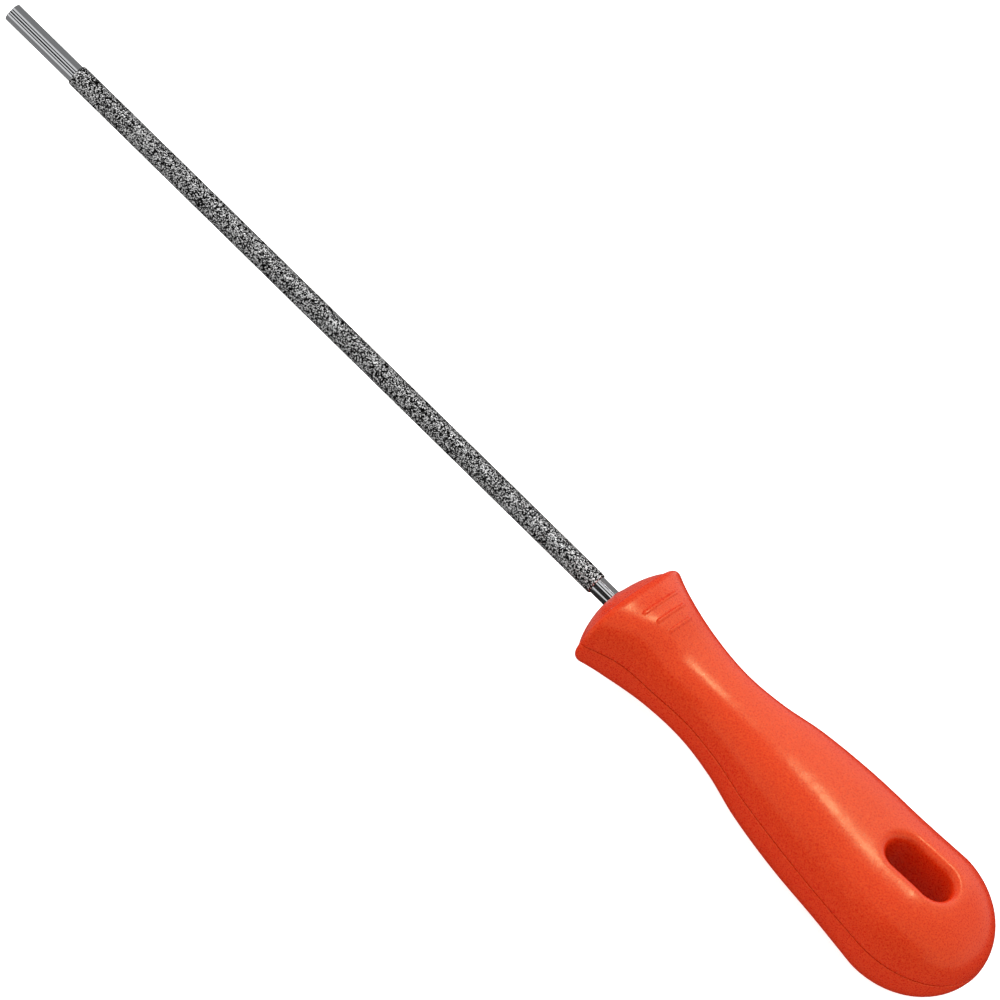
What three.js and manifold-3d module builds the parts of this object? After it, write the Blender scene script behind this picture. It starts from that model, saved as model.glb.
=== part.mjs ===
// Knife sharpening rod: a plain steel rod carrying a bonded grit sleeve, held in a two-shell moulded handle.
// Millimetres. The rod lies along X with its tip towards -X; the hanging slot runs through the handle along Z.
import * as THREE from "three";
import { mergeVertices } from "three/addons/utils/BufferGeometryUtils.js";
import Module from "manifold-3d";

const wasm = await Module();
wasm.setup();

// Steel rod: the part outside the handle, then the tang inside it
const ROD_RADIUS = 2.4;
const EXPOSED_LENGTH = 204.3;
const TANG_LENGTH = 74;
const ROD_CHAMFER = 0.3;
const ROUND_SIDES = 36;

// Anti-pull fins pinched out of the tang
const FIN_MIDDLE = 56;
const FIN_LENGTH = 9;
const FIN_SPAN = 8;
const FIN_THICKNESS = 1.4;

// Bonded abrasive sleeve
const GRIT_THICKNESS = 0.45;
const TIP_LENGTH = 22.1;
const GRIT_LENGTH = 177.1;
const GRIT_EDGE = 0.25;
const BOND_GAP = 0.02;

// Handle: half widths (along Y) and half depths (along Z) from the collar to the belly
const STATIONS = [0, 5, 14, 24, 36, 47, 58, 74, 90, 104];
const HALF_WIDTHS = [20.7, 17.5, 12.8, 11.4, 10.3, 11.4, 13.9, 16.3, 17.9, 18.8];
const HALF_DEPTHS = [12.6, 11.6, 12.2, 10.1, 10, 11.1, 12.9, 14, 13.9, 15.1];
const SQUARENESS = 2.6; // 2 would be an ellipse
const FLAT_FROM = 0.973; // share of the depth above which the front and the back are flat
const SINK = 0.3; // the flats are slightly hollow, as thick mouldings sink, so they rest on their two edges
const COLLAR_DOME = 4.2;
const COLLAR_ROUND = 2.4;
const COLLAR_FLAT_SHARE = 0.86; // share of the collar's width that the dome covers before its round edge
const BELLY = 104;
const BUTT_LENGTH = 22;
const HANDLE_CANT = THREE.MathUtils.degToRad(-2.7); // the butt leans towards -Y

// Shell walls, joint and inner webs
const WALL = 3;
const JOINT_GAP = 0.3;
const CLEARANCE = 0.3;
const WEB_THICKNESS = 2.4;
const WEB_PLACES = [20, 35, 49.8, 62.2];
const WALL_BITE = 0.6; // how far inner features run into the wall that they grow from
const FIN_BED_WIDTH = 14;
const TANG_STOP = 76;

// Locating pegs on the front shell, with sockets in the back shell
const PEG_PLACES = [[67, 10], [67, -10], [118.5, 0]];
const PEG_RADIUS = 1.4;
const PEG_REACH = 3.4;
const BOSS_RADIUS = 3;

// Hanging slot
const SLOT_MIDDLE = 100.1;
const SLOT_LENGTH = 19.2;
const SLOT_WIDTH = 9.8;
const SLOT_WALL = 2.4;

// Raised bars on the front of the collar: place along the handle and half length
const RIBS = [[10.4, 6.3], [14, 5.2], [17.5, 4.1]];
const RIB_WIDTH = 1;
const RIB_HEIGHT = 0.4;

const FAR = 200; // larger than the handle, for half-spaces and through cuts

const STEEL = { color: 0xb9bcc0, roughness: 0.25, metalness: 1 };
const GRIT = { color: 0x5d5f62, roughness: 0.8, metalness: 0.4 };
const PLASTIC = { color: 0xe8431f, roughness: 0.35, metalness: 0 };

// ---- Solids and geometry ----

// A closed geometry as a solid that can be joined and cut
function solidOf(geometry) {
  geometry.deleteAttribute("normal");
  geometry.deleteAttribute("uv");
  const merged = mergeVertices(geometry, 1e-4);
  const corners = merged.index.array;
  const triangles = [];
  for (let i = 0; i < corners.length; i += 3) {
    const [a, b, c] = corners.slice(i, i + 3);
    if (a !== b && b !== c && c !== a) triangles.push(a, b, c);
  }
  const mesh = new wasm.Mesh({
    numProp: 3,
    vertProperties: merged.getAttribute("position").array,
    triVerts: new Uint32Array(triangles),
  });
  return new wasm.Manifold(mesh);
}

function geometryOf(solid) {
  const mesh = solid.getMesh();
  const geometry = new THREE.BufferGeometry();
  geometry.setAttribute("position", new THREE.BufferAttribute(mesh.vertProperties, 3));
  geometry.setIndex(new THREE.BufferAttribute(mesh.triVerts, 1));
  geometry.computeVertexNormals();
  return geometry;
}

function box(length, width, height, x, y, z) {
  return solidOf(new THREE.BoxGeometry(length, width, height).translate(x, y, z));
}

// A round post along Z, from one height to another
function post(radius, x, y, low, high) {
  const geometry = new THREE.CylinderGeometry(radius, radius, high - low, 24);
  return solidOf(geometry.rotateX(Math.PI / 2).translate(x, y, (low + high) / 2));
}

// An upright prism with round ends, long along X or along Y
function roundEnded(length, width, x, low, high, alongY = false) {
  const straight = (length - width) / 2;
  const outline = new THREE.Shape();
  outline.absarc(straight, 0, width / 2, -Math.PI / 2, Math.PI / 2);
  outline.absarc(-straight, 0, width / 2, Math.PI / 2, Math.PI * 1.5);
  const settings = { depth: high - low, bevelEnabled: false, curveSegments: 14 };
  const geometry = new THREE.ExtrudeGeometry(outline, settings);
  if (alongY) geometry.rotateZ(Math.PI / 2);
  return solidOf(geometry.translate(x, 0, low));
}

// ---- The handle's outer form ----

const halfWidthAt = new THREE.CubicInterpolant(STATIONS, HALF_WIDTHS, 1);
const halfDepthAt = new THREE.CubicInterpolant(STATIONS, HALF_DEPTHS, 1);

// The handle's length-wise profile: each point is a place along the handle and a share of the section there.
// A positive inset gives the hollow inside a wall, and a negative one a skin that stands proud.
function handleProfile(inset, step) {
  const profile = [];
  const domeSteps = 4;
  for (let i = 0; i <= domeSteps; i++) {
    const share = (COLLAR_FLAT_SHARE * i) / domeSteps;
    profile.push([inset + COLLAR_DOME * (i / domeSteps) ** 2, share]);
  }
  const roundStart = 0.3; // radians: where the round edge leaves the dome
  const roundSteps = 3;
  for (let i = 1; i <= roundSteps; i++) {
    const turn = roundStart + ((Math.PI / 2 - roundStart) * i) / roundSteps;
    const rise = COLLAR_ROUND * (Math.cos(roundStart) - Math.cos(turn));
    profile.push([inset + COLLAR_DOME + rise, COLLAR_FLAT_SHARE + (1 - COLLAR_FLAT_SHARE) * Math.sin(turn)]);
  }
  const bodyStart = Math.ceil((profile.at(-1)[0] + 1) / step) * step;
  for (let x = bodyStart; x <= BELLY; x += step) profile.push([x, 1]);
  const buttSteps = 8;
  for (let i = 1; i <= buttSteps; i++) {
    const turn = (Math.PI / 2) * (i / buttSteps);
    profile.push([BELLY + (BUTT_LENGTH - inset) * Math.sin(turn), i < buttSteps ? Math.cos(turn) : 0]);
  }
  return profile;
}

function superPower(value) {
  return Math.sign(value) * Math.abs(value) ** (2 / SQUARENESS);
}

// The whole handle body: a lathe form whose rings are drawn out to rounded, flattened sections.
// A flat runs along the front and the back, so that it lies steady. The half step at the start keeps ridges off it.
function handleBody(inset = 0, step = 4, sides = 36) {
  const outline = handleProfile(inset, step).map(([x, share]) => new THREE.Vector2(share, x));
  const geometry = new THREE.LatheGeometry(outline, sides, Math.PI / sides);
  const place = geometry.getAttribute("position");
  for (let i = 0; i < place.count; i++) {
    const x = place.getY(i);
    const share = Math.hypot(place.getX(i), place.getZ(i));
    const turn = Math.atan2(place.getX(i), place.getZ(i));
    const along = Math.min(x, BELLY);
    const halfWidth = halfWidthAt.evaluate(along)[0] - inset;
    const halfDepth = halfDepthAt.evaluate(along)[0] - inset;
    const y = share * halfWidth * superPower(Math.cos(turn));
    const rise = Math.abs(superPower(Math.sin(turn)));
    const sink = (SINK * Math.max(rise - FLAT_FROM, 0)) / (1 - FLAT_FROM);
    const depth = halfDepth * Math.min(rise / FLAT_FROM, 1) - sink;
    const z = share * depth * Math.sign(Math.sin(turn));
    place.setXYZ(i, x, y, z);
  }
  return solidOf(geometry);
}

// ---- Rod and sleeve ----

// A turned form about Y from [radius, place] pairs
function turned(points) {
  return new THREE.LatheGeometry(points.map(([r, y]) => new THREE.Vector2(r, y)), ROUND_SIDES);
}

function rodGeometry() {
  const low = -EXPOSED_LENGTH;
  const body = turned([
    [0, low],
    [ROD_RADIUS - ROD_CHAMFER, low],
    [ROD_RADIUS, low + ROD_CHAMFER],
    [ROD_RADIUS, TANG_LENGTH - ROD_CHAMFER],
    [ROD_RADIUS - ROD_CHAMFER, TANG_LENGTH],
    [0, TANG_LENGTH],
  ]);
  const fins = new THREE.BoxGeometry(FIN_SPAN, FIN_LENGTH, FIN_THICKNESS).translate(0, FIN_MIDDLE, 0);
  return geometryOf(solidOf(body).add(solidOf(fins)));
}

function gritGeometry() {
  const inner = ROD_RADIUS + BOND_GAP;
  const outer = ROD_RADIUS + GRIT_THICKNESS;
  const low = TIP_LENGTH - EXPOSED_LENGTH;
  const high = low + GRIT_LENGTH;
  const ring = [
    [inner, low],
    [outer - GRIT_EDGE, low],
    [outer, low + GRIT_EDGE],
    [outer, high - GRIT_EDGE],
    [outer - GRIT_EDGE, high],
    [inner, high],
    [inner, low],
  ];
  return geometryOf(solidOf(turned(ring)));
}

// The space that the tang and its fins need, in the handle's own frame
function tangClearance() {
  const radius = ROD_RADIUS + CLEARANCE;
  const reach = TANG_LENGTH + CLEARANCE;
  const bore = new THREE.CylinderGeometry(radius, radius, reach + 20, ROUND_SIDES);
  bore.translate(0, (reach - 20) / 2, 0);
  const fins = new THREE.BoxGeometry(
    FIN_SPAN + 2 * CLEARANCE,
    FIN_LENGTH + 2 * CLEARANCE,
    FIN_THICKNESS + 2 * CLEARANCE,
  );
  fins.translate(0, FIN_MIDDLE, 0);
  const toHandle = -Math.PI / 2 - HANDLE_CANT;
  return solidOf(bore.rotateZ(toHandle)).add(solidOf(fins.rotateZ(toHandle)));
}

// ---- Handle shells ----

const outerBody = handleBody();
const hollow = handleBody(WALL, 8, 24);
const innerReach = handleBody(WALL - WALL_BITE, 8, 24);
const tangSpace = tangClearance();
const slotHole = roundEnded(SLOT_LENGTH, SLOT_WIDTH, SLOT_MIDDLE, -FAR, FAR);

// Half of the space, in front of (1) or behind (-1) the joint between the shells
function halfSpace(side) {
  return box(2 * FAR, FAR, FAR, 0, 0, (side * (FAR + JOINT_GAP)) / 2);
}

// Webs across the hollow that carry the tang, and the bed that its fins lie in
function tangWebs() {
  let webs = box(FIN_LENGTH + WEB_THICKNESS, FIN_BED_WIDTH, FAR, FIN_MIDDLE, 0, 0);
  for (const place of WEB_PLACES) webs = webs.add(box(WEB_THICKNESS, FAR, FAR, place, 0, 0));
  webs = webs.add(box(WEB_THICKNESS, FAR, FAR, TANG_STOP, 0, 0));
  return webs.intersect(innerReach);
}

function pegBosses() {
  const [first, ...rest] = PEG_PLACES.map(([x, y]) => post(BOSS_RADIUS, x, y, -FAR, FAR));
  return rest.reduce((sum, boss) => sum.add(boss), first).intersect(innerReach);
}

// A shell blank: the wall with its inner features, open where the rod and the slot pass
function shellBlank(side) {
  const slotWall = roundEnded(SLOT_LENGTH + 2 * SLOT_WALL, SLOT_WIDTH + 2 * SLOT_WALL, SLOT_MIDDLE, -FAR, FAR);
  return outerBody
    .subtract(hollow)
    .add(slotWall.intersect(innerReach))
    .add(tangWebs())
    .add(pegBosses())
    .intersect(halfSpace(side))
    .subtract(tangSpace)
    .subtract(slotHole);
}

function frontShell() {
  let shell = shellBlank(1);
  const skin = handleBody(-RIB_HEIGHT);
  for (const [place, halfLength] of RIBS) {
    const rib = roundEnded(2 * halfLength, RIB_WIDTH, place, WALL * 2, FAR, true);
    shell = shell.add(rib.intersect(skin).subtract(hollow));
  }
  for (const [x, y] of PEG_PLACES) shell = shell.add(post(PEG_RADIUS, x, y, -PEG_REACH, JOINT_GAP));
  return geometryOf(shell);
}

function backShell() {
  let shell = shellBlank(-1);
  for (const [x, y] of PEG_PLACES) {
    shell = shell.subtract(post(PEG_RADIUS + CLEARANCE, x, y, -PEG_REACH - CLEARANCE, 1));
  }
  return geometryOf(shell);
}

// ---- Assembly ----

function piece(name, geometry, look) {
  const mesh = new THREE.Mesh(geometry, new THREE.MeshStandardMaterial(look));
  mesh.name = name;
  return mesh;
}

const rod = new THREE.Group();
rod.rotation.z = -Math.PI / 2; // turned along Y, laid along X
rod.add(piece("steel_rod", rodGeometry(), STEEL));
rod.add(piece("grit_sleeve", gritGeometry(), GRIT));

const handle = new THREE.Group();
handle.rotation.z = HANDLE_CANT;
handle.add(piece("handle_front_shell", frontShell(), PLASTIC));
handle.add(piece("handle_back_shell", backShell(), PLASTIC));

const group = new THREE.Group();
group.add(rod, handle);

// The origin is under the middle of the whole object, so that it lies on the XY plane
group.updateMatrixWorld(true);
const extent = new THREE.Box3().setFromObject(group, true);
const middle = extent.getCenter(new THREE.Vector3());
group.position.set(-middle.x, -middle.y, -extent.min.z);

export default group;
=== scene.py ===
"""Knife sharpening steel: a grit-coated rod in a two-shell moulded handle, on a plain pale stage.

Laid out as an add-on: sizes and colours are properties, each piece has its own operator,
and main() runs them all.
"""

import math

import bmesh
import bpy
import numpy as np
from mathutils import Matrix, Vector


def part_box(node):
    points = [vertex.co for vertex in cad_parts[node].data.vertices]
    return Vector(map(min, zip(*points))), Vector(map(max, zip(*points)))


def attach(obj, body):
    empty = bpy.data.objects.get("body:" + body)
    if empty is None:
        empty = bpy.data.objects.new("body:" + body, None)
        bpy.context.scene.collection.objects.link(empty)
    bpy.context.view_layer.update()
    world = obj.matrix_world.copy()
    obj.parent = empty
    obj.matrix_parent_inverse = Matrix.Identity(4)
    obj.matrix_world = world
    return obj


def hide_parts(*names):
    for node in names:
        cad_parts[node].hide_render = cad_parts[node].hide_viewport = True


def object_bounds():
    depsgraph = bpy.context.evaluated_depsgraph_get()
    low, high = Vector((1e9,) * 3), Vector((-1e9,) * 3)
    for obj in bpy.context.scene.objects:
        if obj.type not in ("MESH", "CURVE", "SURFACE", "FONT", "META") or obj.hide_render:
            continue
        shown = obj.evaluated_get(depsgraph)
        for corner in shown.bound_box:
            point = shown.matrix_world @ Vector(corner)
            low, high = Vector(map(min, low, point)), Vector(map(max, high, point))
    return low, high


bl_info = {
    "name": "Knife Sharpening Steel",
    "version": (1, 0, 0),
    "blender": (4, 5, 0),
    "location": "View3D > Sidebar > Sharpening Steel",
    "description": "Builds the looks of a grit-coated knife sharpening steel around its packed frame",
    "category": "Mesh",
}

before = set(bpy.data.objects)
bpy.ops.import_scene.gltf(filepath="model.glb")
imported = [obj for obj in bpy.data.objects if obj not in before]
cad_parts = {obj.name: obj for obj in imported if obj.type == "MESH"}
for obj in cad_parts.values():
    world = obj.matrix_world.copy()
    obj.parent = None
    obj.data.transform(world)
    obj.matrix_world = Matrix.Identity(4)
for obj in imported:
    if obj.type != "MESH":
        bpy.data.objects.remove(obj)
CAD_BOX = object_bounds()
MM = 0.001

# ---- Places taken from the frame, in metres ----

ROD_LOW, ROD_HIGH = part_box("steel_rod")
GRIT_LOW, GRIT_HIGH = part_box("grit_sleeve")
AXIS_Y = (GRIT_LOW.y + GRIT_HIGH.y) / 2
AXIS_Z = (GRIT_LOW.z + GRIT_HIGH.z) / 2
GRIT_DIAMETER = GRIT_HIGH.z - GRIT_LOW.z
BAR_DIAMETER = ROD_HIGH.z - ROD_LOW.z
FLOOR_Z = CAD_BOX[0].z

# ---- The rod, in millimetres unless a comment says metres ----

EXPOSED_LENGTH = 204.3
TANG_LENGTH = 74.0
CUT_EDGE = 0.25  # rounding of the bar's sawn ends
BAR_SIDES = 128
BAR_STEPS = 60
BOND_GAP = 0.00001  # metres between the bar and the coating's inside
COATING_ROUND = 0.0005  # metres over which the coating's ends thin out
COATING_END_SHARE = 0.35  # of its full thickness
GRAIN_SEED = 7

# ---- The handle's form, in millimetres along (x), across (y) and through (z) the handle ----

HANDLE_CANT = math.radians(-2.7)
STATIONS = np.array([0, 5, 14, 24, 36, 47, 58, 74, 90, 104], float)
HALF_WIDTHS = np.array([20.7, 17.5, 12.8, 11.4, 10.3, 11.4, 13.9, 16.3, 17.9, 18.8])
HALF_DEPTHS = np.array([12.6, 11.6, 12.2, 10.1, 10, 11.1, 12.9, 14, 13.9, 15.1])
SQUARENESS = 2.6  # 2 would be an ellipse
ROUND = 2.0
COLLAR_DOME = 4.2
COLLAR_ROUND = 2.4
COLLAR_FLAT_SHARE = 0.86
BELLY = 104.0
BUTT_LENGTH = 22.0
ROD_CLEARANCE = 0.1
HOLE_DEPTH = 3.0
HOLE_ROUND = 0.45
HOLE_LIP = 0.12  # how far inside the collar's highest point the hole's mouth ends
SLOT_MIDDLE = 100.1
SLOT_LENGTH = 19.2
SLOT_WIDTH = 9.8
SLOT_WALL = 2.4
INNER_SLOT_ROUND = 0.8
RIBS = ((10.4, 6.3), (14.0, 5.2), (17.5, 4.1))  # place and half length of each bar
RIB_CREST = 0.18  # shares of a bar's width: where its crest ends, and how wide its flank is
RIB_FLANK = 0.42
RIB_LOWEST = 5.0  # bars lift only the skin above this height

# ---- How finely the handle's skin is laid out: steps are counts, pitches are millimetres ----

FAN_CENTRE = SLOT_MIDDLE + (SLOT_LENGTH - SLOT_WIDTH) / 2  # the rows turn round the butt about this place
FAN_STEPS = 44
FAN_GAP = 0.3  # no section comes nearer than this to the fan
HALVINGS = 48
HOLE_STEPS = 3
HOLE_PITCH = 1.2
INNER_FLARE = 0.12
FACE_START = 0.28  # share of the half width at which the collar's squared face begins
FACE_STEPS = 12
FACE_JOIN = (0.33, 0.67)  # where sections blend the round hole into that face
CURL_START = 0.3  # the collar's rounded edge starts at this angle, in radians
CURL_STEPS = 10
COLLAR_PITCH = 0.7
COLLAR_END = 9.3
RIB_ZONE = (9.4, 18.6)
RIB_PITCH = 0.14
PLAIN_PITCH = 0.8
BODY_START = 19.2
BODY_PITCH = 0.9
SIDE_TURN = 1.17  # radians of the section that the side's rows climb
SIDE_STEPS = 22
RIDGE_SHARE = 0.5  # above this share of the half width the rows are evenly spaced
RIDGE_STEPS = 21
LIP_STEPS = 5
WINDOW_SHARE = 0.7  # the slot's patch reaches this share of the half width
WINDOW_GAP = 0.02
WINDOW_START = 82.0
RING_STEPS = 12
ROUND_STEPS = 9
WALL_STEPS = 5
MERGE_DISTANCE = 2e-7  # metres
SLIVER = 1e-8  # metres

# ---- The stage, in metres ----

FLOOR_RADIUS = 12
FLOOR_SIDES = 96
LIGHT_TARGET = Vector((0.08, 0, 0))
FLAG_REACH = 0.7
NEAR_FLAG_Y = -0.5
NEAR_FLAG_TOP = 0.38
NEAR_FLAG_LEFT = -0.08
FLAG_LIFT = 0.0001
SLAT_REACH = 0.06
SLAT_START = ROD_LOW.x - 0.1
SLAT_END = 0.03
SLAT_STEP = 6  # degrees
SLATS = ((47, 294), (-45, -33), (-19, -1), (13, 26))  # degrees round the rod, 0 towards the camera

# ---- The view, in metres ----

ROLL = math.radians(46.45)  # the handle's slope in the view, down to the right
SWING = math.radians(12)  # the butt is turned this far towards the camera
TIP_OVER = math.radians(42)  # from straight above the front face towards -Y
VIEW_WIDTH = 0.2376
SENSOR_WIDTH = 36
CAMERA_DISTANCE = 4.0
AIM_RIGHT = 0.02665  # the collar's middle lies this far right of and below the view's middle
AIM_DOWN = 0.02362

COLLAR = Vector((ROD_LOW.x + EXPOSED_LENGTH * MM, AXIS_Y, AXIS_Z))
ROD_PLACE = Matrix.Translation((0, AXIS_Y, AXIS_Z))


def linear(hex_colour):
    """An sRGB hex colour as linear RGBA."""
    channels = [int(hex_colour[i:i + 2], 16) / 255 for i in (0, 2, 4)]
    turned = [c / 12.92 if c <= 0.04045 else ((c + 0.055) / 1.055) ** 2.4 for c in channels]
    return (*turned, 1.0)


# ---- Form of the handle ----

def smooth_through(values, x):
    """A smooth curve through the stations; each slope is the mean of its two neighbouring chords."""
    chords = np.diff(values) / np.diff(STATIONS)
    slopes = np.concatenate(([chords[0]], (chords[1:] + chords[:-1]) / 2, [chords[-1]]))
    x = np.clip(x, STATIONS[0], STATIONS[-1])
    i = np.clip(np.searchsorted(STATIONS, x, side="right") - 1, 0, len(STATIONS) - 2)
    width = STATIONS[i + 1] - STATIONS[i]
    t = (x - STATIONS[i]) / width
    start = (1 + 2 * t) * (1 - t) ** 2 * values[i] + t * (1 - t) ** 2 * width * slopes[i]
    end = t ** 2 * (3 - 2 * t) * values[i + 1] + t ** 2 * (t - 1) * width * slopes[i + 1]
    return start + end


def section(x, inset):
    """Half width, half depth and end share of the handle's section at x."""
    share = np.sqrt(np.clip(1 - ((x - BELLY) / (BUTT_LENGTH - inset)) ** 2, 0, 1))
    share = np.where(x > BELLY, share, 1.0)
    return smooth_through(HALF_WIDTHS, x) - inset, smooth_through(HALF_DEPTHS, x) - inset, share


def height(x, y, inset):
    """Height of the front skin above the joint's plane."""
    half_width, half_depth, share = section(x, inset)
    inside = np.clip(share ** SQUARENESS - np.abs(y / half_width) ** SQUARENESS, 0, None)
    return half_depth * inside ** (1 / SQUARENESS)


def butt_reach(turn, z, inset):
    """Distance from the fan's centre to the butt's skin at height z, along each turn, by bisection."""
    half_width, half_depth, _ = section(np.array(BELLY), inset)
    low = np.zeros(np.broadcast(turn, z).shape)
    high = low + BUTT_LENGTH + FAN_CENTRE
    for _ in range(HALVINGS):
        middle = (low + high) / 2
        x = (FAN_CENTRE - BELLY + middle * np.cos(turn)) / (BUTT_LENGTH - inset)
        y = middle * np.sin(turn) / half_width
        across = np.abs(y) ** SQUARENESS + np.abs(z / half_depth) ** SQUARENESS
        outside = across ** (2 / SQUARENESS) + x ** 2 > 1
        high = np.where(outside, middle, high)
        low = np.where(outside, low, middle)
    return low


def rib_rise(x, y, rise, width):
    """How far the raised bars lift the front skin."""
    total = np.zeros(np.broadcast(x, y).shape)
    for place, half_length in RIBS:
        past_end = np.clip(np.abs(y) - half_length + width / 2, 0, None)
        distance = np.hypot(x - place, past_end)
        t = np.clip((distance / width - RIB_CREST) / RIB_FLANK, 0, 1)
        total = np.maximum(total, rise * (1 - t * t * (3 - 2 * t)))
    return total


def hole_columns(inset, hole):
    """Round sections of the rod's hole, straight and then rounded out to the collar's face."""
    if inset:
        radii = [hole + INNER_FLARE * i for i in range(2 * HOLE_STEPS)]
        return [(inset, radius, radius, ROUND) for radius in radii]
    columns = [(HOLE_DEPTH - i * HOLE_PITCH, hole, hole, ROUND) for i in range(HOLE_STEPS)]
    for i in range(1, HOLE_STEPS + 1):
        turn = i / HOLE_STEPS * math.pi / 2
        place = HOLE_LIP + HOLE_ROUND * (1 - math.sin(turn))
        radius = hole + HOLE_ROUND * (1 - math.cos(turn))
        columns.append((place, radius, radius, ROUND))
    return columns


def handle_columns(inset, hole, ribbed):
    """Sections from the rod's hole to the fan: place, half width, half depth and squareness of each."""
    columns = hole_columns(inset, hole)
    shares = np.linspace(FACE_START, COLLAR_FLAT_SHARE, FACE_STEPS)
    places = inset + COLLAR_DOME * (shares / COLLAR_FLAT_SHARE) ** 2
    turns = np.linspace(CURL_START, math.pi / 2, CURL_STEPS)[1:]
    rises = COLLAR_ROUND * (math.cos(CURL_START) - np.cos(turns))
    places = np.concatenate((places, inset + COLLAR_DOME + rises))
    curl = COLLAR_FLAT_SHARE + (1 - COLLAR_FLAT_SHARE) * np.sin(turns)
    shares = np.concatenate((shares, curl))
    half_width, half_depth, _ = section(places, inset)
    face = list(zip(places, shares * half_width, shares * half_depth, [SQUARENESS] * len(places)))
    last = np.array(columns[-1])
    first = np.array(face[0])
    columns += [tuple(last + (first - last) * t) for t in FACE_JOIN]
    columns += face
    start = places[-1]
    outer_start = COLLAR_DOME + rises[-1]
    collar = np.arange(outer_start + COLLAR_PITCH, COLLAR_END, COLLAR_PITCH)
    ribs = np.arange(*RIB_ZONE, RIB_PITCH if ribbed else PLAIN_PITCH)
    body = np.concatenate((collar, ribs, np.arange(BODY_START, FAN_CENTRE, BODY_PITCH)))
    body = np.append(body[body < FAN_CENTRE - FAN_GAP], FAN_CENTRE)
    body = start + (body - outer_start) * (FAN_CENTRE - start) / (FAN_CENTRE - outer_start)
    half_width, half_depth, share = section(body, inset)
    columns += list(zip(body, share * half_width, share * half_depth, [SQUARENESS] * len(body)))
    return np.array(columns)


def row_shares():
    """Rows from the joint (1) to the ridge (0) as shares of the half width, closer over the ribs."""
    side = np.cos(np.linspace(0, SIDE_TURN, SIDE_STEPS)[1:]) ** (2 / SQUARENESS)
    side = side[side > RIDGE_SHARE]
    wide = np.append(side[side > WINDOW_SHARE], WINDOW_SHARE)
    high = side[side < WINDOW_SHARE - WINDOW_GAP]
    return np.concatenate((wide, high, np.linspace(RIDGE_SHARE, 0, RIDGE_STEPS)))


def row(columns, inset, low, rise=0.0):
    """One row along a side, round the butt and back, a share of the way up from low to the ridge."""
    x, half_width, half_depth, n = columns.T
    z = low + (half_depth - low) * rise
    y = half_width * np.clip(1 - (z / half_depth) ** n, 0, None) ** (1 / n)
    arm = np.stack((x, y, z), 1)
    turns = np.linspace(math.pi / 2, -math.pi / 2, FAN_STEPS + 1)[1:-1]
    fan_z = np.full(len(turns), z[-1])
    reach = butt_reach(turns, fan_z, inset)
    fan = np.stack((FAN_CENTRE + reach * np.cos(turns), reach * np.sin(turns), fan_z), 1)
    return np.concatenate((arm, fan, arm[::-1] * (1, -1, 1)))


def skin_rows(columns, inset, gap, lip, lip_turns):
    """The skin's rows, from the joint's rounded edge up to the ridge."""
    lip_heights = gap + lip * (1 - np.cos(lip_turns))
    base = lip_heights[-1]
    along = np.gradient(row(columns, inset, base)[:, :2], axis=0)
    inward = np.stack((along[:, 1], -along[:, 0]), 1)
    inward /= np.linalg.norm(inward, axis=1)[:, None]
    rows = []
    for turn, z in zip(lip_turns, lip_heights):
        edge = row(columns, inset, z)
        edge[:, :2] += inward * lip * (1 - math.sin(turn))
        rows.append(edge)
    for rise in (1 - row_shares() ** SQUARENESS) ** (1 / SQUARENESS):
        rows.append(row(columns, inset, base, rise))
    return np.array(rows)


def open_grid(rows, window_row, window_column):
    """Vertices and faces of the rows, the joint's edge, and the loop round the window left for the slot."""
    count = rows.shape[1]
    far_column = count - 1 - window_column
    vertices, faces = [], []
    index = -np.ones(rows.shape[:2], int)
    for k in range(rows.shape[0]):
        for i in range(count):
            if k <= window_row or i <= window_column or i >= far_column:
                index[k, i] = len(vertices)
                vertices.append(rows[k, i])
    for k in range(rows.shape[0] - 1):
        for i in range(count - 1):
            corners = [index[k, i], index[k, i + 1], index[k + 1, i + 1], index[k + 1, i]]
            if min(corners) >= 0:
                faces.append(corners)
    loop = [index[window_row, i] for i in range(window_column, far_column + 1)]
    loop += [index[k, far_column] for k in range(window_row + 1, rows.shape[0])]
    loop += [index[k, window_column] for k in range(rows.shape[0] - 2, window_row, -1)]
    return vertices, faces, list(index[0]), loop


def slot_rings(start, inset, gap, lip, lip_turns, slot_reach, slot_round):
    """Rings from the window's loop in to the slot, round its mouth, down its wall and into the joint."""
    half_line = (SLOT_LENGTH - SLOT_WIDTH) / 2
    spine = np.clip(start[:, 0], SLOT_MIDDLE - half_line, SLOT_MIDDLE + half_line)
    spine = np.stack((spine, np.zeros(len(start))), 1)
    outward = start[:, :2] - spine
    outward /= np.linalg.norm(outward, axis=1)[:, None]
    rim = spine + outward * (slot_reach + slot_round)
    rings = []
    for t in np.linspace(0, 1, RING_STEPS + 1)[1:]:
        plan = start[:, :2] + (rim - start[:, :2]) * t
        rings.append(np.column_stack((plan, height(plan[:, 0], plan[:, 1], inset))))
    for turn in np.linspace(0, math.pi / 2, ROUND_STEPS + 1)[1:]:
        plan = spine + outward * (slot_reach + slot_round * (1 - math.sin(turn)))
        skin_height = height(plan[:, 0], plan[:, 1], inset)
        rings.append(np.column_stack((plan, skin_height - slot_round * (1 - math.cos(turn)))))
    wall_top = rings[-1].copy()
    for t in np.linspace(0, 1, WALL_STEPS + 1)[1:]:
        ring = wall_top.copy()
        ring[:, 2] += (gap + lip - ring[:, 2]) * t
        rings.append(ring)
    for turn in lip_turns[::-1][1:]:
        ring = wall_top.copy()
        ring[:, :2] += outward * lip * (1 - math.sin(turn))
        ring[:, 2] = gap + lip * (1 - math.cos(turn))
        rings.append(ring)
    return rings


def bridge(near, far):
    """Faces between two closed loops of vertices."""
    count = len(near)
    return [[near[m], near[(m + 1) % count], far[(m + 1) % count], far[m]] for m in range(count)]


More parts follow.
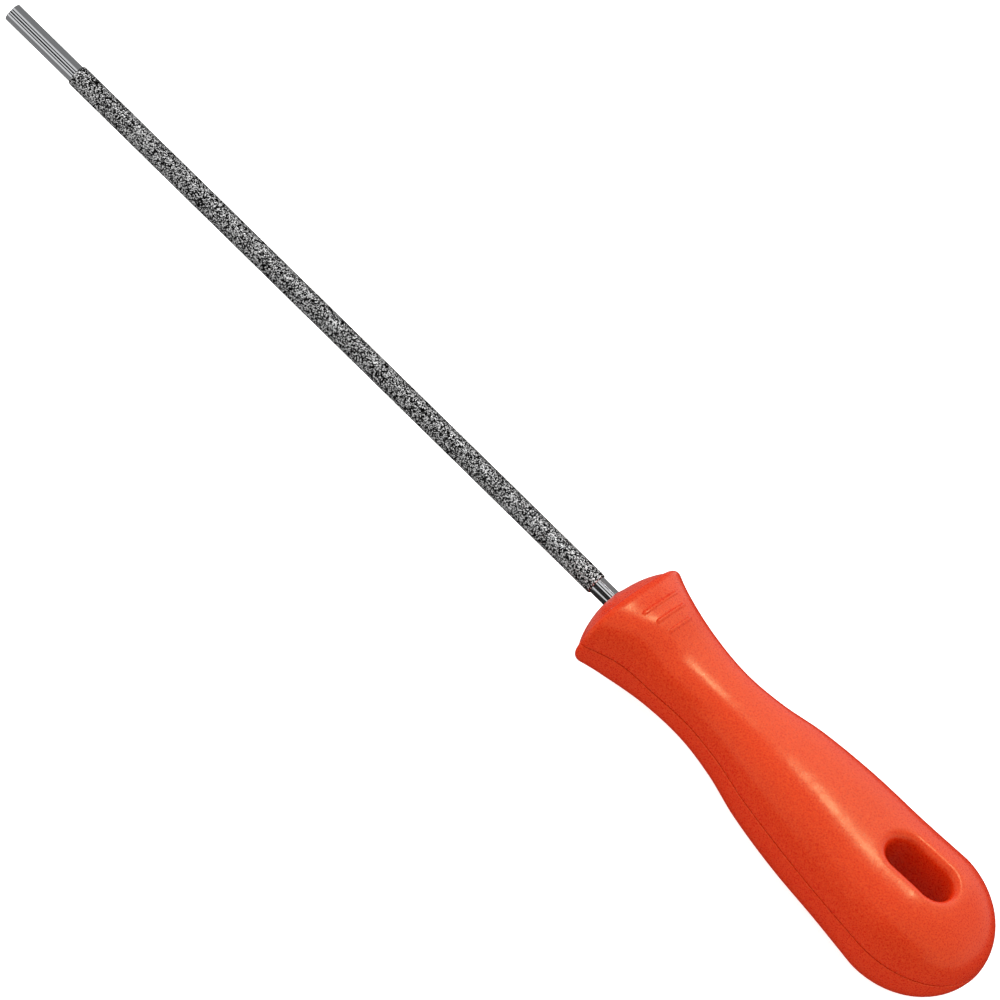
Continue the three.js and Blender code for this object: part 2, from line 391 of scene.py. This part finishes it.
def skin(inset, gap, lip, hole, slot_reach, slot_round, ribbed):
    """One half of the handle's skin above the joint: vertices, faces, joint's edge and slot's edge.

    Rows run from the joint's edge up to the ridge, and each row runs like a U from the rod's hole,
    along one side, round the butt and back. The slot sits in a patch of rings that replaces the
    upper rows there."""
    columns = handle_columns(inset, hole, ribbed)
    lip_turns = np.linspace(0, math.pi / 2, LIP_STEPS) if lip else np.array([math.pi / 2])
    rows = skin_rows(columns, inset, gap, lip, lip_turns)
    window_row = len(lip_turns) + int(np.argmin(np.abs(row_shares() - WINDOW_SHARE)))
    window_column = int(np.argmin(np.abs(columns[:, 0] - WINDOW_START)))
    vertices, faces, edge, loop = open_grid(rows, window_row, window_column)
    start = np.array([vertices[i] for i in loop])
    for ring in slot_rings(start, inset, gap, lip, lip_turns, slot_reach, slot_round):
        inner_loop = list(range(len(vertices), len(vertices) + len(loop)))
        vertices += list(ring)
        faces += bridge(loop, inner_loop)
        loop = inner_loop
    return np.array(vertices), faces, edge, loop


def shell_points(sizes, front):
    """A closed half shell: outer skin, inner skin, and the joint faces that bridge them."""
    gap = sizes.seam_gap / MM / 2
    lip = sizes.seam_round / MM
    hole = BAR_DIAMETER / MM / 2 + ROD_CLEARANCE
    slot_reach = SLOT_WIDTH / 2
    outer, faces, edge_out, ring_out = skin(
        0.0, gap, lip, hole, slot_reach, sizes.slot_round / MM, front)
    inner, inner_faces, edge_in, ring_in = skin(
        sizes.wall / MM, gap, 0.0, hole, slot_reach + SLOT_WALL, INNER_SLOT_ROUND, front)
    if front:
        lift = rib_rise(outer[:, 0], outer[:, 1], sizes.rib_height / MM, sizes.rib_width / MM)
        outer[:, 2] += lift * (outer[:, 2] > RIB_LOWEST)
    shift = len(outer)
    points = np.concatenate((outer, inner))
    faces += [[i + shift for i in face][::-1] for face in inner_faces]
    edge_in = [i + shift for i in edge_in]
    for i in range(len(edge_out) - 1):
        faces.append([edge_out[i + 1], edge_out[i], edge_in[i], edge_in[i + 1]])
    faces += bridge(ring_out, [i + shift for i in ring_in])
    if not front:
        points = points * (1, 1, -1)
        faces = [face[::-1] for face in faces]
    return points, faces


def handle_matrix():
    """From the handle's own millimetres to the frame."""
    return Matrix.Translation(COLLAR) @ Matrix.Rotation(HANDLE_CANT, 4, "Z") @ Matrix.Scale(MM, 4)


# ---- Meshes and objects ----

def new_piece(name, points, faces, material, matrix=None):
    """A smooth mesh object from points and faces, its doubled points merged."""
    mesh = bpy.data.meshes.new(name)
    mesh.from_pydata([tuple(p) for p in points], [], [tuple(f) for f in faces])
    if matrix:
        mesh.transform(matrix)
    shape = bmesh.new()
    shape.from_mesh(mesh)
    bmesh.ops.remove_doubles(shape, verts=shape.verts, dist=MERGE_DISTANCE)
    bmesh.ops.dissolve_degenerate(shape, edges=shape.edges, dist=SLIVER)
    bmesh.ops.recalc_face_normals(shape, faces=shape.faces)
    shape.to_mesh(mesh)
    shape.free()
    mesh.shade_smooth()
    piece = bpy.data.objects.new(name, mesh)
    bpy.context.scene.collection.objects.link(piece)
    mesh.materials.append(material)
    return piece


def turned(profile, sides, jitter=None):
    """Points and faces of a form turned about X from (place, radius) pairs; a radius of 0 closes an end."""
    angles = np.linspace(0, 2 * math.pi, sides, endpoint=False)
    points, rings = [], []
    for k, (place, radius) in enumerate(profile):
        start = len(points)
        if radius == 0:
            points.append((place, 0.0, 0.0))
            rings.append([start] * sides)
            continue
        reach = radius + (jitter[k] if jitter is not None else 0.0)
        ring = np.column_stack((np.full(sides, place), reach * np.cos(angles), reach * np.sin(angles)))
        points += list(ring)
        rings.append(list(range(start, start + sides)))
    faces = []
    for near, far in zip(rings, rings[1:]):
        for i in range(sides):
            j = (i + 1) % sides
            corners = [near[i], near[j], far[j], far[i]]
            faces.append(list(dict.fromkeys(corners)))
    return points, faces


def mount(piece, slot, *nodes):
    """Rides a finished piece on the body and lets it stand for its CAD nodes."""
    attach(piece, "root")
    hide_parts(*nodes)


# ---- Materials ----

def add(tree, kind, inputs=None, **settings):
    """Adds a node: settings are its attributes, and inputs are values or the sockets that feed it."""
    node = tree.nodes.new(kind)
    for name, value in settings.items():
        setattr(node, name, value)
    for name, value in (inputs or {}).items():
        socket = node.inputs[name]
        if isinstance(value, bpy.types.NodeSocket):
            tree.links.new(value, socket)
        else:
            socket.default_value = value
    return node


def new_material(name):
    """A fresh node material with its Principled shader; returns the material, tree and shader."""
    material = bpy.data.materials.new(name)
    material.use_nodes = True
    tree = material.node_tree
    return material, tree, tree.nodes["Principled BSDF"]


def set_ramp(node, *stops):
    """Sets a colour ramp's stops from (place, grey) pairs."""
    elements = node.color_ramp.elements
    while len(elements) > 1:
        elements.remove(elements[0])
    elements[0].position = stops[0][0]
    elements[0].color = (*[stops[0][1]] * 3, 1)
    for place, grey in stops[1:]:
        elements.new(place).color = (*[grey] * 3, 1)
    return node


def bright_steel(looks):
    """Bright drawn and polished steel bar: lengthwise die lines pull reflections into sharp streaks."""
    material, tree, shader = new_material("bright_drawn_steel")
    shader.inputs["Metallic"].default_value = 1.0
    # Die lines are usually under 0.1 mm apart, and are drawn 0.3 mm apart so that they show.
    line_width = 0.0003
    line_stretch = (0.004, 1, 1)
    place = add(tree, "ShaderNodeTexCoord").outputs["Object"]
    drawn = add(tree, "ShaderNodeMapping", {"Vector": place, "Scale": line_stretch}).outputs["Vector"]
    fine = {"Vector": drawn, "Scale": 1 / line_width, "Detail": 3.0}
    lines = add(tree, "ShaderNodeTexNoise", fine).outputs["Fac"]
    broad = {"Vector": drawn, "Scale": 0.35 / line_width, "Detail": 1.0}
    bands = add(tree, "ShaderNodeTexNoise", broad).outputs["Fac"]
    tone = add(tree, "ShaderNodeMix", {"Factor": lines}, data_type="RGBA")
    tone.inputs[6].default_value = looks.steel_shade
    tone.inputs[7].default_value = looks.steel_colour
    tree.links.new(tone.outputs[2], shader.inputs["Base Color"])
    rough = add(tree, "ShaderNodeMapRange", {"Value": lines, "To Min": 0.03, "To Max": 0.08})
    tree.links.new(rough.outputs["Result"], shader.inputs["Roughness"])
    deep = {"Height": bands, "Strength": 0.15, "Distance": 2e-5}
    normal = add(tree, "ShaderNodeBump", deep).outputs["Normal"]
    shallow = {"Height": lines, "Strength": 0.15, "Distance": 5e-6, "Normal": normal}
    tree.links.new(add(tree, "ShaderNodeBump", shallow).outputs["Normal"], shader.inputs["Normal"])
    return material


def bonded_grit(looks):
    """Abrasive grains in a plated metal bond: dull dark metal, peppered with pits and sparkling facets."""
    material, tree, shader = new_material("plated_abrasive_grit")
    place = add(tree, "ShaderNodeTexCoord").outputs["Object"]
    # Such grains are about 0.15 mm across, and grain_size draws them coarser so that they show.
    cells = add(tree, "ShaderNodeTexVoronoi", {"Vector": place, "Scale": 1 / looks.grain_size})
    value = add(tree, "ShaderNodeSeparateColor", {"Color": cells.outputs["Color"]})
    tones = add(tree, "ShaderNodeValToRGB", {"Fac": value.outputs["Red"]})
    set_ramp(tones, (0.0, 0.0), (0.48, 0.01), (0.62, 0.1), (0.72, 0.8), (0.82, 1.0))
    tree.links.new(tones.outputs["Color"], shader.inputs["Base Color"])
    shader.inputs["Metallic"].default_value = 0.85
    shader.inputs["Specular Tint"].default_value = linear("5A5A5A")  # plating dulls at a glancing angle
    polish = {"Value": value.outputs["Green"], "To Min": 0.22, "To Max": 0.6}
    rough = add(tree, "ShaderNodeMapRange", polish)
    tree.links.new(rough.outputs["Result"], shader.inputs["Roughness"])
    grains = {"Height": cells.outputs["Distance"], "Strength": 0.8, "Distance": 1e-4}
    bump = add(tree, "ShaderNodeBump", grains, invert=True)
    tree.links.new(bump.outputs["Normal"], shader.inputs["Normal"])
    return material


def moulded_plastic(looks):
    """Injection-moulded polypropylene: deep orange-red under a satin gloss with a faint moulded texture;
    paler specks are painted on the texture's high spots as painted glints.
    """
    material, tree, shader = new_material("moulded_polypropylene")
    shader.inputs["IOR"].default_value = 1.49
    shader.inputs["Specular IOR Level"].default_value = 0.5
    shader.inputs["Specular Tint"].default_value = linear("FFFFB8")
    shader.inputs["Subsurface Weight"].default_value = 0.12
    shader.inputs["Subsurface Radius"].default_value = (1.0, 0.25, 0.1)
    shader.inputs["Subsurface Scale"].default_value = 0.0015
    flow_mark = 0.022
    sink_mark = 0.012
    tool_mark = 0.0025
    # The moulded grain is about 0.2 mm on the real surface, and is drawn at 0.4 mm so that it shows.
    grain = 0.0004
    place = add(tree, "ShaderNodeTexCoord").outputs["Object"]
    patterns = []
    for size, detail in ((flow_mark, 3.0), (grain, 2.0), (sink_mark, 1.0), (tool_mark, 2.0)):
        pattern = {"Vector": place, "Scale": 1 / size, "Detail": detail}
        patterns.append(add(tree, "ShaderNodeTexNoise", pattern).outputs["Fac"])
    flow, texture, sink, tool = patterns
    tone = add(tree, "ShaderNodeMix", {"Factor": flow}, data_type="RGBA")
    tone.inputs[6].default_value = looks.plastic_shade
    tone.inputs[7].default_value = looks.plastic_colour
    # Painted glints: the grain's high spots are painted in a paler colour, standing in for the sheen that
    # the real grain breaks up.
    painted_glint_range = {"Value": texture, "From Min": 0.3, "From Max": 0.7}
    painted_glint_share = add(tree, "ShaderNodeMapRange", painted_glint_range).outputs["Result"]
    tone_with_painted_glints = add(tree, "ShaderNodeMix", {"Factor": painted_glint_share}, data_type="RGBA")
    tree.links.new(tone.outputs[2], tone_with_painted_glints.inputs[6])
    tone_with_painted_glints.inputs[7].default_value = looks.grain_glint_colour
    tree.links.new(tone_with_painted_glints.outputs[2], shader.inputs["Base Color"])
    rough = add(tree, "ShaderNodeMapRange", {"Value": texture, "To Min": 0.2, "To Max": 0.38})
    tree.links.new(rough.outputs["Result"], shader.inputs["Roughness"])
    normal = None
    for pattern, strength, depth in ((sink, 0.35, 4e-4), (tool, 0.5, 1.2e-4), (texture, 0.5, 4e-5)):
        relief = {"Height": pattern, "Strength": strength, "Distance": depth}
        if normal:
            relief["Normal"] = normal
        normal = add(tree, "ShaderNodeBump", relief).outputs["Normal"]
    tree.links.new(normal, shader.inputs["Normal"])
    return material


def light_table(looks):
    """Opal acrylic lit from below: an even pale ground on which shadows stay faint."""
    material, tree, shader = new_material("opal_acrylic")
    shader.inputs["Base Color"].default_value = looks.floor_colour
    shader.inputs["Roughness"].default_value = 0.8
    shader.inputs["Specular IOR Level"].default_value = 0.1
    shader.inputs["Emission Color"].default_value = (1, 1, 1, 1)
    shader.inputs["Emission Strength"].default_value = looks.table_glow
    return material


def flag_cloth(name, colour):
    """Dull woven cloth for the flags: it gives reflections something dark to end on."""
    material, tree, shader = new_material(name)
    shader.inputs["Base Color"].default_value = linear(colour)
    shader.inputs["Roughness"].default_value = 1.0
    shader.inputs["Specular IOR Level"].default_value = 0.0
    return material


# ---- Properties ----

class SteelSizes(bpy.types.PropertyGroup):
    """Sizes of the fine detail that the frame leaves open."""

    grain_height: bpy.props.FloatProperty(
        name="Grain height", description="How far the grains stand out of their bond",
        default=0.00009, min=0.0, unit="LENGTH", precision=5)
    grain_pitch: bpy.props.FloatProperty(
        name="Grain pitch", description="Spacing of the modelled grains",
        default=0.0002, min=0.0001, unit="LENGTH", precision=5)
    seam_gap: bpy.props.FloatProperty(
        name="Seam gap", description="Open gap between the two handle shells",
        default=0.00024, min=0.0, unit="LENGTH", precision=5)
    seam_round: bpy.props.FloatProperty(
        name="Seam rounding", description="Radius along the shells' meeting edges",
        default=0.0003, min=0.00005, unit="LENGTH", precision=5)
    slot_round: bpy.props.FloatProperty(
        name="Slot rounding", description="Radius round the mouth of the hanging slot",
        default=0.0028, min=0.0005, unit="LENGTH", precision=5)
    rib_height: bpy.props.FloatProperty(
        name="Rib height", description="How far the collar's bars stand up",
        default=0.00028, min=0.0, unit="LENGTH", precision=5)
    rib_width: bpy.props.FloatProperty(
        name="Rib width", description="Width of each of the collar's bars",
        default=0.001, min=0.0003, unit="LENGTH", precision=5)
    wall: bpy.props.FloatProperty(
        name="Wall", description="Thickness of the shells",
        default=0.003, min=0.001, unit="LENGTH", precision=5)


class SteelLooks(bpy.types.PropertyGroup):
    """Colours, grain and lights."""

    steel_colour: bpy.props.FloatVectorProperty(
        name="Steel", description="Colour of the bare bar", subtype="COLOR", size=4, min=0, max=1,
        default=linear("E6E7E9"))
    steel_shade: bpy.props.FloatVectorProperty(
        name="Steel shade", description="Duller colour of the bare bar's die lines", subtype="COLOR", size=4,
        min=0, max=1, default=linear("B4B6B9"))
    grain_size: bpy.props.FloatProperty(
        name="Grain size", description="Width of one abrasive grain in the coating's pattern",
        default=0.00024, min=0.00005, unit="LENGTH", precision=5)
    plastic_colour: bpy.props.FloatVectorProperty(
        name="Plastic", description="Main colour of the handle", subtype="COLOR", size=4, min=0, max=1,
        default=linear("CC1E00"))
    plastic_shade: bpy.props.FloatVectorProperty(
        name="Plastic shade", description="Deeper colour of the handle's flow marks", subtype="COLOR",
        size=4, min=0, max=1, default=linear("C41400"))
    # Paler colour painted on the texture's high spots as painted glints.
    grain_glint_colour: bpy.props.FloatVectorProperty(
        name="Plastic grain", description="Paler colour of the texture's high spots", subtype="COLOR",
        size=4, min=0, max=1, default=linear("DE3C12"))
    floor_colour: bpy.props.FloatVectorProperty(
        name="Floor", description="Colour of the floor", subtype="COLOR", size=4, min=0, max=1,
        default=linear("F4F4F2"))
    table_glow: bpy.props.FloatProperty(
        name="Table glow", description="Light that comes up through the floor", default=0.75, min=0.0)
    key_power: bpy.props.FloatProperty(
        name="Key light", description="Power of the small light overhead",
        default=3.6, min=0.0, unit="POWER")
    soft_power: bpy.props.FloatProperty(
        name="Softbox", description="Power of the broad light behind",
        default=9.0, min=0.0, unit="POWER")
    fill_power: bpy.props.FloatProperty(
        name="Fill", description="Power of the low light beyond the tip",
        default=6.0, min=0.0, unit="POWER")
    sky_strength: bpy.props.FloatProperty(
        name="Surround", description="Strength of the pale surroundings", default=0.95, min=0.0)


# ---- Operators: one for each piece, and one for the stage ----

class STEEL_OT_bar(bpy.types.Operator):
    """Bare steel bar: square-cut tip, neck, and a plain tang hidden inside the handle"""

    bl_idname = "steel.bar"
    bl_label = "Steel bar"

    def execute(self, context):
        looks = context.scene.steel_looks
        radius = BAR_DIAMETER / 2
        low = ROD_LOW.x
        high = low + (EXPOSED_LENGTH + TANG_LENGTH) * MM
        edge = CUT_EDGE * MM
        turns = np.linspace(0, math.pi / 2, 5)[::-1]
        tip = [(low + edge * (1 - math.sin(t)), radius - edge * (1 - math.cos(t))) for t in turns]
        stretch = [(x, radius) for x in np.linspace(low + 2 * edge, high - 2 * edge, BAR_STEPS)]
        end = [(low + high - x, r) for x, r in tip[::-1]]
        points, faces = turned([(low, 0)] + tip + stretch + end + [(high, 0)], BAR_SIDES)
        bar = new_piece("bar", points, faces, bright_steel(looks), ROD_PLACE)
        mount(bar, "bright_steel", "steel_rod")
        return {"FINISHED"}


class STEEL_OT_grit(bpy.types.Operator):
    """Bonded abrasive coating: a sleeve whose whole surface is raised into grains"""

    bl_idname = "steel.grit"
    bl_label = "Grit coating"

    def execute(self, context):
        sizes = context.scene.steel_sizes
        looks = context.scene.steel_looks
        dice = np.random.RandomState(GRAIN_SEED)
        inner = BAR_DIAMETER / 2 + BOND_GAP
        radius = GRIT_DIAMETER / 2 - sizes.grain_height / 2
        sides = int(round(2 * math.pi * radius / sizes.grain_pitch))
        places = np.arange(GRIT_LOW.x, GRIT_HIGH.x, sizes.grain_pitch)
        from_end = np.minimum(places - GRIT_LOW.x, GRIT_HIGH.x - places)
        rounds = np.sqrt(np.clip(from_end / COATING_ROUND, 0, 1))
        shares = COATING_END_SHARE + (1 - COATING_END_SHARE) * rounds
        body = [(x, inner + (radius - inner) * share) for x, share in zip(places, shares)]
        profile = [(GRIT_LOW.x, inner)] + body + [(GRIT_HIGH.x, inner), (GRIT_LOW.x, inner)]
        grains = sizes.grain_height / 2 * dice.uniform(-1, 1, (len(body), sides))
        flat = np.zeros((1, sides))
        jitter = np.concatenate((flat, grains, flat, flat))
        points, faces = turned(profile, sides, jitter)
        coating = new_piece("grit_coating", points, faces, bonded_grit(looks), ROD_PLACE)
        mount(coating, "bonded_grit", "grit_sleeve")
        return {"FINISHED"}


class STEEL_OT_shells(bpy.types.Operator):
    """Handle shells: two moulded, hollow halves that meet along the seam, with the slot and the bars"""

    bl_idname = "steel.shells"
    bl_label = "Handle shells"

    def execute(self, context):
        sizes = context.scene.steel_sizes
        plastic = moulded_plastic(context.scene.steel_looks)
        for name, node, front in (
            ("front_shell", "handle_front_shell", True),
            ("back_shell", "handle_back_shell", False),
        ):
            points, faces = shell_points(sizes, front)
            shell = new_piece(name, points, faces, plastic, handle_matrix())
            mount(shell, "handle_plastic", node)
        return {"FINISHED"}


class STEEL_OT_stage(bpy.types.Operator):
    """Plain pale floor, soft lights with their flags, and the camera"""

    bl_idname = "steel.stage"
    bl_label = "Stage"

    def execute(self, context):
        looks = context.scene.steel_looks
        make_floor(looks)
        make_lights(context.scene, looks)
        make_flags()
        make_camera(context.scene)
        context.scene.view_settings.view_transform = "Standard"
        return {"FINISHED"}


def make_floor(looks):
    """A large flat disc just under the object. Its bounce comes from the surroundings instead."""
    turns = np.linspace(0, 2 * math.pi, FLOOR_SIDES, endpoint=False)
    points = [(FLOOR_RADIUS * math.cos(t), FLOOR_RADIUS * math.sin(t), FLOOR_Z) for t in turns]
    floor = new_piece("floor", points, [list(range(FLOOR_SIDES))], light_table(looks))
    floor.visible_diffuse = False
    floor.visible_glossy = False


def make_lights(scene, looks):
    """A small key for the highlights, a softbox above and behind, a low fill, and pale surroundings.

    The fill evens out the collar's end face and is kept out of reflections."""
    for name, power, size, place, glossy in (
        ("key", looks.key_power, 0.16, (-0.18, 0.42, 1.36), True),
        ("softbox", looks.soft_power, 2.0, (-0.3, 1.3, 1.5), True),
        ("fill", looks.fill_power, 0.8, (-1.5, -0.3, 0.5), False),
    ):
        lamp = bpy.data.lights.new(name, "AREA")
        lamp.energy = power
        lamp.size = size
        light = bpy.data.objects.new(name, lamp)
        light.location = place
        light.visible_glossy = glossy
        light.rotation_euler = (LIGHT_TARGET - light.location).to_track_quat("-Z", "Y").to_euler()
        scene.collection.objects.link(light)
    world = bpy.data.worlds.new("surround")
    world.use_nodes = True
    background = world.node_tree.nodes["Background"]
    background.inputs["Color"].default_value = (1, 1, 1, 1)
    background.inputs["Strength"].default_value = looks.sky_strength
    scene.world = world


def flag(name, points, faces, material):
    """A dark board that only reflections see."""
    board = new_piece(name, points, faces, material)
    board.visible_camera = False
    board.visible_diffuse = False
    board.visible_shadow = False


def make_flags():
    """Dark cloths under and before the handle, and slats round the rod that give its streaks."""
    black = flag_cloth("black_flag_cloth", "303030")
    grey = flag_cloth("grey_flag_cloth", "929292")
    reach = FLAG_REACH
    level = FLOOR_Z + FLAG_LIFT
    left = NEAR_FLAG_LEFT
    on_table = ((SLAT_END, -reach), (reach, -reach), (reach, reach), (SLAT_END, reach))
    on_wall = ((left, FLOOR_Z), (reach, FLOOR_Z), (reach, NEAR_FLAG_TOP), (left, NEAR_FLAG_TOP))
    table = [(x, y, level) for x, y in on_table]
    wall = [(x, NEAR_FLAG_Y, z) for x, z in on_wall]
    flag("table_flag", table, [(0, 1, 2, 3)], black)
    flag("near_flag", wall, [(0, 1, 2, 3)], black)
    for number, (start, end) in enumerate(SLATS):
        steps = max(3, int((end - start) / SLAT_STEP))
        turns = np.radians(np.linspace(start, end, steps)) - TIP_OVER
        points = []
        for turn in turns:
            y = AXIS_Y + SLAT_REACH * math.sin(turn)
            z = AXIS_Z + SLAT_REACH * math.cos(turn)
            points += [(SLAT_START, y, z), (SLAT_END, y, z)]
        faces = [(i, i + 1, i + 3, i + 2) for i in range(0, 2 * len(turns) - 2, 2)]
        flag(f"rod_slat_{number}", points, faces, black if number else grey)


def make_camera(scene):
    """A long lens at the object's three-quarter view."""
    turn = Matrix.Rotation(HANDLE_CANT, 3, "Z")
    c = math.cos(SWING)
    s = math.sin(SWING)
    level = math.cos(TIP_OVER)
    deep = math.sin(TIP_OVER)
    along = turn @ Vector((c, s * deep, -s * level))
    below = turn @ Vector((0, -level, -deep))
    back = turn @ Vector((s, -deep * c, level * c))
    right = along * math.cos(ROLL) - below * math.sin(ROLL)
    down = along * math.sin(ROLL) + below * math.cos(ROLL)
    aim = COLLAR - right * AIM_RIGHT - down * AIM_DOWN
    lens = bpy.data.cameras.new("camera")
    lens.sensor_width = SENSOR_WIDTH
    lens.lens = SENSOR_WIDTH * CAMERA_DISTANCE / VIEW_WIDTH
    lens.clip_end = 100
    camera = bpy.data.objects.new("camera", lens)
    rotation = Matrix((right, -down, back)).transposed()
    camera.matrix_world = Matrix.Translation(aim + back * CAMERA_DISTANCE) @ rotation.to_4x4()
    scene.collection.objects.link(camera)
    scene.camera = camera


# ---- Panel and registration ----

class STEEL_PT_panel(bpy.types.Panel):
    """Lists the pieces and their sizes"""

    bl_idname = "STEEL_PT_panel"
    bl_label = "Sharpening steel"
    bl_space_type = "VIEW_3D"
    bl_region_type = "UI"
    bl_category = "Sharpening Steel"

    def draw(self, context):
        layout = self.layout
        for group in (context.scene.steel_sizes, context.scene.steel_looks):
            for name in group.__annotations__:
                layout.prop(group, name)
        for operator in OPERATORS:
            layout.operator(operator.bl_idname)


OPERATORS = (STEEL_OT_bar, STEEL_OT_grit, STEEL_OT_shells, STEEL_OT_stage)
CLASSES = (SteelSizes, SteelLooks, *OPERATORS, STEEL_PT_panel)


def register():
    for kind in CLASSES:
        bpy.utils.register_class(kind)
    bpy.types.Scene.steel_sizes = bpy.props.PointerProperty(type=SteelSizes)
    bpy.types.Scene.steel_looks = bpy.props.PointerProperty(type=SteelLooks)


def unregister():
    del bpy.types.Scene.steel_looks
    del bpy.types.Scene.steel_sizes
    for kind in reversed(CLASSES):
        bpy.utils.unregister_class(kind)


def main():
    register()
    bpy.ops.steel.bar()
    bpy.ops.steel.grit()
    bpy.ops.steel.shells()
    bpy.ops.steel.stage()


if __name__ == "__main__":
    main()
